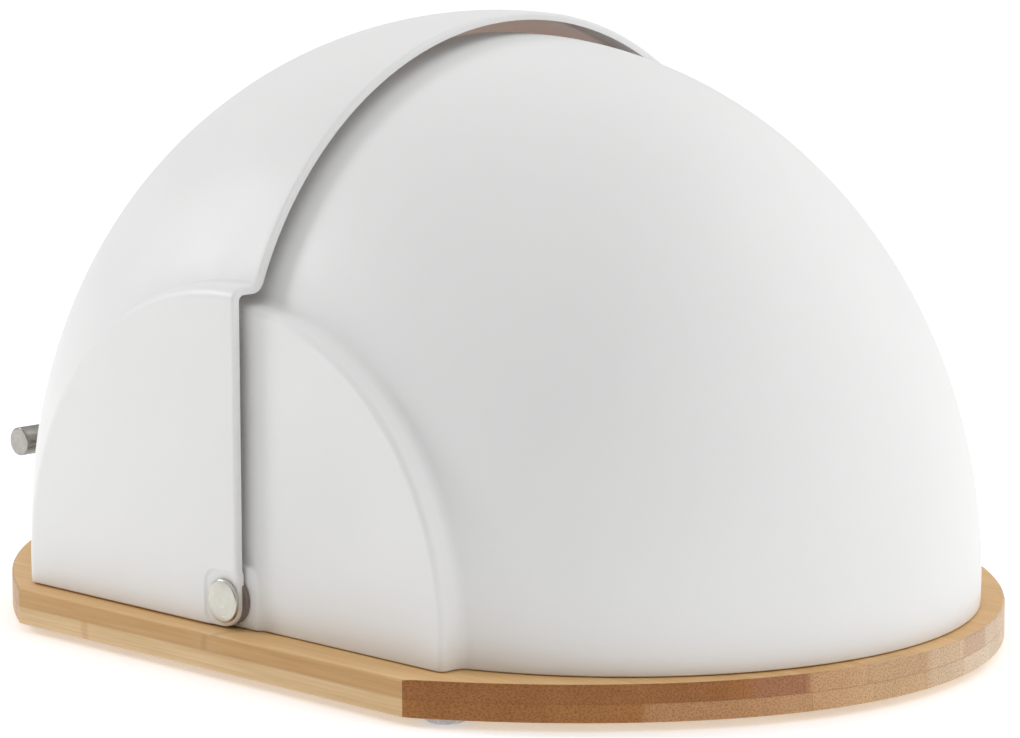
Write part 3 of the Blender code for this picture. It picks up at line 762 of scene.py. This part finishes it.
lidShape = {
    "name": "rollLid",
    "half": lidHigh[0],
    "crown": lidHigh[2] - hinge.z,
    "panel": 108.5 * mm,
    "step": 10.6 * mm,
    "corner": 5.0 * mm,
    "root": 2.2 * mm,
    "front": True,
    "edge": lidHigh[1] - hinge.y,
    "low": lidLow[2] - hinge.z,
    "ear": 8.0 * mm,
    "bend": 1.3 * mm,
    "lowBend": 0.6 * mm,
    "lip": 2.8 * mm,
    "sheet": 0.8 * mm,
    "hole": 2.8 * mm,
    "pad": {"half": 10.0 * mm, "corner": 5.0 * mm, "soft": 0.9 * mm, "lift": -0.6 * mm},
    "crownSteps": 72,
    "turnSteps": 96,
}
shellShape = {
    "name": "fixedRearShell",
    "half": shellHigh[0] - 1.7 * mm,
    "crown": shellHigh[2] - hinge.z,
    "panel": 101.5 * mm,
    "step": 9.0 * mm,
    "corner": 2.8 * mm,
    "root": 4.0 * mm,
    "front": False,
    "edge": shellLow[1] - hinge.y,
    "low": shellLow[2] - hinge.z,
    "ear": 2.6 * mm,
    "bend": 1.4 * mm,
    "lowBend": 0.6 * mm,
    "lip": 2.3 * mm,
    "sheet": 0.8 * mm,
    "hole": 2.8 * mm,
    "pad": {"half": 12.5 * mm, "corner": 5.0 * mm, "soft": 0.9 * mm, "lift": 1.7 * mm},
    "crownSteps": 72,
    "turnSteps": 96,
}
for shape, body, node in ((lidShape, "roll_top", "lid"), (shellShape, "base", "rear_shell")):
    dressPiece(pressedSheet(shape), shape["name"], powderCoat, body, (node,), 60)
print("lid and rear shell pressed")


# screw tabs of the rear shell
tabShape = {
    "halfWidth": 8.0 * mm,
    "inward": 7.0 * mm,
    "corner": 3.0 * mm,
    "hole": 2.05 * mm,
    "sheet": 0.8 * mm,
    "wall": 1.9 * mm,          # from the shell's outside in to the tab's root
}


def shellReach(x):
    # how far back the shell's lower edge lies from the hinge, at a place across its width
    reach, centre = crownArc(shellShape)
    radius = centre + math.sqrt(reach ** 2 - x ** 2)
    return math.sqrt(radius ** 2 - shellShape["low"] ** 2)


def makeTab(number, middle, outward):
    # a tongue with a round hole, from its free end out to the shell's lip
    across = Vector((-outward.y, outward.x, 0))
    width, corner = tabShape["halfWidth"], tabShape["corner"]
    outline = []
    for step in range(9):
        v = width * (step / 4 - 1)
        if outward.x:
            reach = shellShape["half"] - abs(middle.x)
        else:
            reach = hinge.y + shellReach(middle.x + across.x * v) - middle.y
        outline.append((reach - tabShape["wall"], v))
    for signW, start in ((1, math.pi / 2), (-1, math.pi)):
        for step in range(6):
            angle = start + math.pi / 2 * step / 5
            outline.append((-tabShape["inward"] + corner + corner * math.cos(angle),
                            signW * (width - corner) + corner * math.sin(angle)))
    bm = bmesh.new()
    loops = []
    origin = Vector((middle.x, middle.y, shellLow[2]))
    for points in (outline, circle(tabShape["hole"])):
        loop = [bm.verts.new(origin + outward * u + across * v) for u, v in points]
        loops += [bm.edges.new((a, b)) for a, b in zip(loop, loop[1:] + loop[:1])]
    bmesh.ops.triangle_fill(bm, use_beauty=True, edges=loops)
    raised = bmesh.ops.extrude_face_region(bm, geom=list(bm.faces))["geom"]
    bmesh.ops.translate(bm, verts=[v for v in raised if isinstance(v, bmesh.types.BMVert)],
                        vec=(0, 0, tabShape["sheet"]))
    makePiece(bm, f"shellTab{number}", powderCoat, "base")


for number in (1, 2, 3, 4):
    middle = middleOf(f"shell_screw_{number}")
    side = 1 if middle.x > 0 else -1
    makeTab(number, middle, Vector((side, 0, 0)) if number < 3 else Vector((0, 1, 0)))
print("screw tabs made")


# screws with a cross recess
def crossCutter(width, length, depth):
    # one twelve-cornered outline, narrower at the bottom of the recess
    outline = []
    for turn in range(4):
        quarter = Matrix.Rotation(math.pi / 2 * turn, 2)
        outline += [quarter @ Vector((length / 2, -width / 2)), quarter @ Vector((length / 2, width / 2)),
                    quarter @ Vector((width / 2, width / 2))]
    bm = bmesh.new()
    rings = [[bm.verts.new((x * taper, y * taper, z)) for x, y in outline]
             for z, taper in ((-depth, 0.72), (depth, 1))]
    bm.faces.new(rings[0])
    bm.faces.new(rings[1])
    for i in range(len(outline)):
        bm.faces.new((rings[0][i - 1], rings[0][i], rings[1][i], rings[1][i - 1]))
    return blankMesh(bm, "crossCutter")


screwShape = {
    "shank": 1.75 * mm,
    "point": 3.5 * mm,
    "head": 3.6 * mm,
    "headDepth": 2.0 * mm,
    "shoulder": 1.2 * mm,      # height of the head's nearly straight side
    "crownFlat": 0.9 * mm,
    "cross": (0.75 * mm, 3.6 * mm, 1.1 * mm),
}


def makeWoodScrews():
    w = screwShape
    for number in (1, 2, 3, 4):
        low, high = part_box(f"shell_screw_{number}")
        seat = high[2] - w["headDepth"]
        corners = [(0, low[2], 0), (w["shank"], low[2] + w["point"], 0.3 * mm), (w["shank"], seat, 0),
                   (w["head"], seat, 0.25 * mm), (w["head"] * 0.93, seat + w["shoulder"], 0.9 * mm),
                   (w["crownFlat"], high[2], 0.5 * mm), (0, high[2], 0)]
        bm = lathe(rounded(corners))
        middle = middleOf(f"shell_screw_{number}")
        bmesh.ops.translate(bm, verts=bm.verts, vec=(middle.x, middle.y, 0))
        cutter = crossCutter(*w["cross"])
        place = Matrix.Translation((middle.x, middle.y, high[2]))
        cutter.transform(place @ Matrix.Rotation(0.5 * number, 4, "Z"))
        mesh = cutAway(blankMesh(bm, "screwBlank"), cutter)
        node = f"shell_screw_{number}"
        dressPiece(mesh, f"woodScrew{number}", screwSteel, "base", (node,))


makeWoodScrews()
print("wood screws made")


# pivots
pivotShape = {
    "pin": 2.5 * mm,
    "headRadius": 7.5 * mm,
    "headDepth": 2.0 * mm,
    "headRound": 0.6 * mm,
    "crownRise": 0.45 * mm,
    "bore": 2.8 * mm,
    "flange": 8.5 * mm,
    "hub": 5.0 * mm,
    "hubDepth": 1.0 * mm,
    "washer": 6.5 * mm,
    "nut": 5.2 * mm,
    "nutFlats": 4.55 * mm,
    "nutStraight": 3.0 * mm,
    "nutBlind": 2.0 * mm,      # solid metal at the cap nut's closed end
}


def turnPiece(outline, seat, name, finish, body, node, ring=False, steps=72, sharp=38):
    bm = lathe(outline, ring, steps)
    bmesh.ops.transform(bm, matrix=seat, verts=bm.verts)
    makePiece(bm, name, finish, body, (node,), sharp)


def washerOutline(bore, radius, low, high):
    soft = 0.25 * mm
    return rounded([(bore, low, 0), (radius, low, soft), (radius, high, soft), (bore, high, 0)])


def alongHinge(node):
    # how far a piece's inner and outer ends lie from the middle of the box
    low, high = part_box(node)
    return sorted((abs(low[0]), abs(high[0])))


def headOutline(inner, outer):
    p = pivotShape
    rim = outer - p["crownRise"]
    under = outer - p["headDepth"]
    points = rounded([(0, inner, 0), (p["pin"], inner, 0.4 * mm), (p["pin"], under, 0),
                      (p["headRadius"], under, 0.3 * mm), (p["headRadius"], rim, p["headRound"]),
                      (0, rim, 0)])[:-1]
    face = p["headRadius"] - p["headRound"]
    for step in range(1, 13):
        radius = face * (1 - step / 12)
        points.append(Vector((radius, rim + p["crownRise"] * (1 - (radius / face) ** 2))))
    return points


def bushingOutline(inner, outer):
    p = pivotShape
    shoulder = max(outer - p["hubDepth"], inner + 0.8 * mm)
    return rounded([(p["bore"], inner, 0), (p["flange"], inner, 0.25 * mm),
                    (p["flange"], shoulder, 0.25 * mm), (p["hub"], shoulder, 0.2 * mm),
                    (p["hub"], outer, 0.2 * mm), (p["bore"], outer, 0)])


def capNut(inner, outer):
    # turned with a domed end, then cut to six flats
    p = pivotShape
    straight = outer - p["nutStraight"]
    tip = inner + p["nutBlind"]
    corners = []
    for step in range(13):
        angle = math.pi / 2 * step / 12
        corners.append((p["nutFlats"] * math.sin(angle), straight - (straight - inner) * math.cos(angle), 0))
    corners += [(p["nut"], straight + 0.55 * mm, 0), (p["nut"], outer - 0.4 * mm, 0),
                (p["nutFlats"], outer, 0), (p["bore"], outer, 0), (p["bore"], tip, 0), (0, tip, 0)]
    blank = blankMesh(lathe(rounded(corners)), "nutBlank")
    hexagon = [(0, inner - mm), (p["nut"], inner - mm), (p["nut"], outer + mm), (0, outer + mm)]
    return cutAway(blank, blankMesh(lathe(hexagon, steps=6), "hexBlank"), "INTERSECT")


def makePivots():
    for side, end in sides:
        seat = turnedPlace((0, hinge.y, hinge.z), (side, 0, 0))
        node = f"pivot_screw_{end}"
        turnPiece(headOutline(*alongHinge(node)), seat, f"pivotScrew_{end}", headNickel, "base",
                  node, steps=96, sharp=50)
        node = f"pivot_bushing_{end}"
        turnPiece(bushingOutline(*alongHinge(node)), seat, f"pivotBushing_{end}", nylonAndGapShade, "base",
                  node, ring=True)
        node = f"pivot_washer_{end}"
        outline = washerOutline(pivotShape["bore"], pivotShape["washer"], *alongHinge(node))
        turnPiece(outline, seat, f"pivotWasher_{end}", screwSteel, "base", node, ring=True)
        node = f"pivot_nut_{end}"
        mesh = capNut(*alongHinge(node))
        mesh.transform(seat)
        dressPiece(mesh, f"pivotNut_{end}", screwSteel, "base", (node,), 25)


makePivots()
print("pivots turned")


# handle
handleShape = {
    "barRadius": 5.5 * mm,
    "barRound": 0.6 * mm,
    "postRadius": 3.5 * mm,
    "postSpacing": 64.0 * mm,
    "collar": 0.5 * mm,
    "sink": 1.1 * mm,          # the post's ends reach into the bar and down to the lid's slope
    "washer": 5.0 * mm,
    "washerDepth": 1.0 * mm,
    "head": 3.6 * mm,
    "headDepth": 2.2 * mm,
    "shank": 2.0 * mm,
    "bite": 3.0 * mm,          # the shank's visible length past the lid
    "cross": (0.8 * mm, 3.8 * mm, 1.2 * mm),
}


def barOutline(half):
    # rings on the end faces and along the bar keep the shading even
    radius, soft = handleShape["barRadius"], handleShape["barRound"]
    edges = rounded([(0, -half, 0), (radius, -half, soft), (radius, half, soft), (0, half, 0)])
    face = radius - soft
    return ([edges[0]] + [Vector((face * k / 4, -half)) for k in range(1, 4)] + edges[1:7]
            + [Vector((radius, -half + 2 * half * k / 12)) for k in range(1, 12)] + edges[7:-1]
            + [Vector((face * k / 4, half)) for k in range(3, 0, -1)] + [edges[-1]])


def makeHandle():
    h = handleShape
    low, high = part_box("handle_bar")
    turnPiece(barOutline(high[0]), turnedPlace(barMiddle, (1, 0, 0)), "handleBar", barSteel, "roll_top",
              "handle_bar", steps=96, sharp=50)

    toBar = barMiddle - Vector((0, hinge.y, hinge.z))
    out = toBar.normalized()
    reach, centre = crownArc(lidShape)
    for side, end in sides:
        x = side * h["postSpacing"] / 2
        seat = turnedPlace((x, hinge.y, hinge.z), out)
        skin = centre + math.sqrt(reach ** 2 - x ** 2)
        top = toBar.length - h["barRadius"] + h["sink"]
        base = skin - h["sink"]
        collar = h["postRadius"] + h["collar"]
        points = rounded([(0, base, 0), (collar, base, 0.1 * mm), (collar, skin + 1.6 * mm, 0.45 * mm),
                          (h["postRadius"], skin + 2.2 * mm, 0.45 * mm),
                          (h["postRadius"], top, 0.1 * mm), (0, top, 0)])
        turnPiece(points, seat, f"handlePost_{end}", barSteel, "roll_top",
                  f"handle_post_{end}")

        # washer and screw head lie square to the post, against the inside of the lid
        inside = centre + math.sqrt((reach - lidShape["sheet"]) ** 2 - (abs(x) + h["washer"]) ** 2)
        washerTop = inside - 0.15 * mm
        washerLow = washerTop - h["washerDepth"]
        outline = washerOutline(h["shank"] + 0.3 * mm, h["washer"], washerLow, washerTop)
        turnPiece(outline, seat, f"handleWasher_{end}", screwSteel, "roll_top",
                  f"handle_washer_{end}", ring=True)
        headTop = washerLow - 0.05 * mm
        headLow = headTop - h["headDepth"]
        tip = skin + h["bite"]
        points = rounded([(0, headLow, 0), (h["head"] * 0.90, headLow, 1.0 * mm),
                          (h["head"], headTop, 0.2 * mm), (h["shank"], headTop, 0),
                          (h["shank"], tip, 0.3 * mm), (0, tip, 0)])
        cutter = crossCutter(*h["cross"])
        cutter.transform(Matrix.Translation((0, 0, headLow)) @ Matrix.Rotation(math.pi, 4, "X"))
        mesh = cutAway(blankMesh(lathe(points), "screwBlank"), cutter)
        mesh.transform(seat)
        dressPiece(mesh, f"handleScrew_{end}", screwSteel, "roll_top",
                   (f"handle_screw_{end}",))


makeHandle()
print("handle turned")


# board
boardShape = {
    "side": 200.0 * mm,
    "bow": 77.0 * mm,
    "edgeRound": 0.9 * mm,
    "groove": 0.12 * mm,
    "arcSteps": 96,
}


def makeBoard():
    b = boardShape
    low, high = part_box("base_board")
    halfX = (high[0] - low[0]) / 2
    halfY = (high[1] - low[1]) / 2
    middleY = (high[1] + low[1]) / 2
    reach = halfY + b["bow"]
    meet = math.asin((b["side"] / 2 + b["bow"]) / reach)
    wide = halfX / math.cos(meet)
    back = []
    for step in range(b["arcSteps"] + 1):
        angle = meet + (math.pi - 2 * meet) * step / b["arcSteps"]
        back.append(Vector((wide * math.cos(angle), reach * math.sin(angle) - b["bow"])))
    outline = back + [-point for point in back]
    count = len(outline)
    inward = []
    for i in range(count):
        before = (outline[i] - outline[i - 1]).normalized()
        after = (outline[(i + 1) % count] - outline[i]).normalized()
        turn = (before + after).normalized()
        normal = Vector((-turn.y, turn.x))
        inward.append(normal / max(normal.dot(Vector((-before.y, before.x))), 0.5))
    edge = b["edgeRound"]
    middleZ = (low[2] + high[2]) / 2
    levels = []
    for step in range(6):
        angle = math.pi / 2 * step / 5
        levels.append((low[2] + edge * (1 - math.sin(angle)), edge * (1 - math.cos(angle))))
    levels = levels[::-1]
    levels += [(middleZ - 0.35 * mm, 0), (middleZ, b["groove"]), (middleZ + 0.35 * mm, 0)]
    for step in range(6):
        angle = math.pi / 2 * step / 5
        levels.append((high[2] - edge * (1 - math.sin(angle)), edge * (1 - math.cos(angle))))
    bm = bmesh.new()
    rings = []
    for level, inset in levels:
        rings.append([bm.verts.new((p.x + n.x * inset, middleY + p.y + n.y * inset, level))
                      for p, n in zip(outline, inward)])
    for first, second in zip(rings, rings[1:]):
        for i in range(count):
            j = (i + 1) % count
            bm.faces.new((first[i], first[j], second[j], second[i]))
    bm.faces.new(rings[0])
    bm.faces.new(rings[-1])
    makePiece(bm, "breadBoard", bamboo, "base", ("base_board",), 24)


makeBoard()
print("board glued up")


# feet
footShape = {"tread": 4.4 * mm, "dome": 2.2 * mm, "skirt": 0.3 * mm}


def makeFeet():
    for row in ("front", "back"):
        for side, end in sides:
            node = f"foot_{row}_{end}"
            low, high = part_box(node)
            radius = (high[0] - low[0]) / 2
            flare = radius - footShape["tread"]
            points = [Vector((0, low[2])), Vector((footShape["tread"] * 0.5, low[2]))]
            for step in range(13):
                angle = math.pi / 2 * step / 12
                points.append(Vector((footShape["tread"] + flare * math.sin(angle),
                                      low[2] + footShape["dome"] * (1 - math.cos(angle)))))
            top = high[2] + footShape["skirt"]
            points += [Vector((radius, top)), Vector((0, top))]
            bm = lathe(points)
            middle = middleOf(node)
            bmesh.ops.translate(bm, verts=bm.verts, vec=(middle.x, middle.y, 0))
            makePiece(bm, f"bumper_{row}_{end}", rubber, "base", (node,))


makeFeet()
print("bumpers stuck on")


# floor and light
studio = {
    "floorSize": 9.0,
    "floorTone": (0.90, 0.90, 0.90),
    "floorGlow": 0.32,         # keeps the sweep white under soft light
    "around": 0.60,
    "rightExtra": 0.56,
    "leftLoss": 0.27,
    "cameraLoss": 0.56,
    "overhead": 1.72,
    "key": {"left": 1.5, "back": -0.35, "up": 0.8, "size": 0.5, "power": 8.5},
    # a small warm lamp stands for the light that goes round inside the white dome
    "inside": {"forward": 45 * mm, "up": 75 * mm, "size": 30 * mm, "power": 0.085,
               "colour": (1.0, 0.84, 0.82)},
}


def makeFloor():
    made, tree, shader = startMaterial("paleFloor")
    place = onPiece(tree)[0]
    tone = studio["floorTone"]
    worn = tuple(part * 0.985 for part in tone)
    colour = shades(tree, noise(tree, place, 3, 3), ((0.2, worn), (0.8, tone)))
    tree.links.new(colour, shader.inputs["Base Color"])
    shader.inputs["Roughness"].default_value = 0.85
    shader.inputs["Specular IOR Level"].default_value = 0.1
    shader.inputs["Emission Color"].default_value = (1, 1, 1, 1)
    shader.inputs["Emission Strength"].default_value = studio["floorGlow"]
    bm = bmesh.new()
    half = studio["floorSize"] / 2
    bm.faces.new([bm.verts.new((x * half, y * half, 0)) for x, y in ((-1, -1), (1, -1), (1, 1), (-1, 1))])
    mesh = toMesh(bm, "floor")
    mesh.materials.append(made)
    helper(mesh, "floor")


def makeLights():
    left = Vector((cameraBack.y, -cameraBack.x, 0)).normalized()
    flatBack = Vector((cameraBack.x, cameraBack.y, 0)).normalized()

    # a white room, brightest to the right, darker on the camera's side
    world = bpy.data.worlds.new("studio")
    bpy.context.scene.world = world
    world.use_nodes = True
    tree = world.node_tree
    place = tree.nodes.new("ShaderNodeTexCoord").outputs["Generated"]
    split = tree.nodes.new("ShaderNodeSeparateXYZ")
    tree.links.new(place, split.inputs[0])
    x, y, z = split.outputs

    def towards(direction):
        return calc(tree, "MULTIPLY_ADD", x, direction.x, calc(tree, "MULTIPLY", y, direction.y))

    around = studio["around"]
    strength = spread(tree, towards(-left), 0.10, 0.95, around, around + studio["rightExtra"])
    leftSide = spread(tree, towards(left), 0.10, 0.95, 0, studio["leftLoss"])
    strength = calc(tree, "SUBTRACT", strength, leftSide)
    nearSide = spread(tree, towards(flatBack), 0.15, 0.95, 0, studio["cameraLoss"])
    nearSide = calc(tree, "MULTIPLY", nearSide, spread(tree, z, 0.12, 0.55, 1, 0.42))
    strength = calc(tree, "SUBTRACT", strength, nearSide)
    strength = calc(tree, "MULTIPLY", strength, spread(tree, z, 0.25, 0.95, 1, studio["overhead"]))
    strength = calc(tree, "MAXIMUM", strength, 0.04)
    sky = tree.nodes["Background"]
    sky.inputs["Color"].default_value = (1, 1, 1, 1)
    tree.links.new(strength, sky.inputs["Strength"])

    lamp = studio["key"]
    data = bpy.data.lights.new("key", "AREA")
    data.shape = "DISK"
    data.size = lamp["size"]
    data.energy = lamp["power"]
    light = bpy.data.objects.new("key", data)
    bpy.context.scene.collection.objects.link(light)
    offset = left * lamp["left"] + flatBack * lamp["back"] + Vector((0, 0, lamp["up"]))
    light.location = Vector((0, hinge.y, 0.09)) + offset
    light.rotation_mode = "QUATERNION"
    light.rotation_quaternion = offset.to_track_quat("Z", "Y")
    lamp = studio["inside"]
    data = bpy.data.lights.new("inside", "POINT")
    data.shadow_soft_size = lamp["size"]
    data.energy = lamp["power"]
    data.color = lamp["colour"]
    light = bpy.data.objects.new("inside", data)
    bpy.context.scene.collection.objects.link(light)
    light.location = (0, hinge.y - lamp["forward"], hinge.z + lamp["up"])
    bpy.context.scene.view_settings.view_transform = "Standard"


makeFloor()
makeLights()
print("floor and lights set")
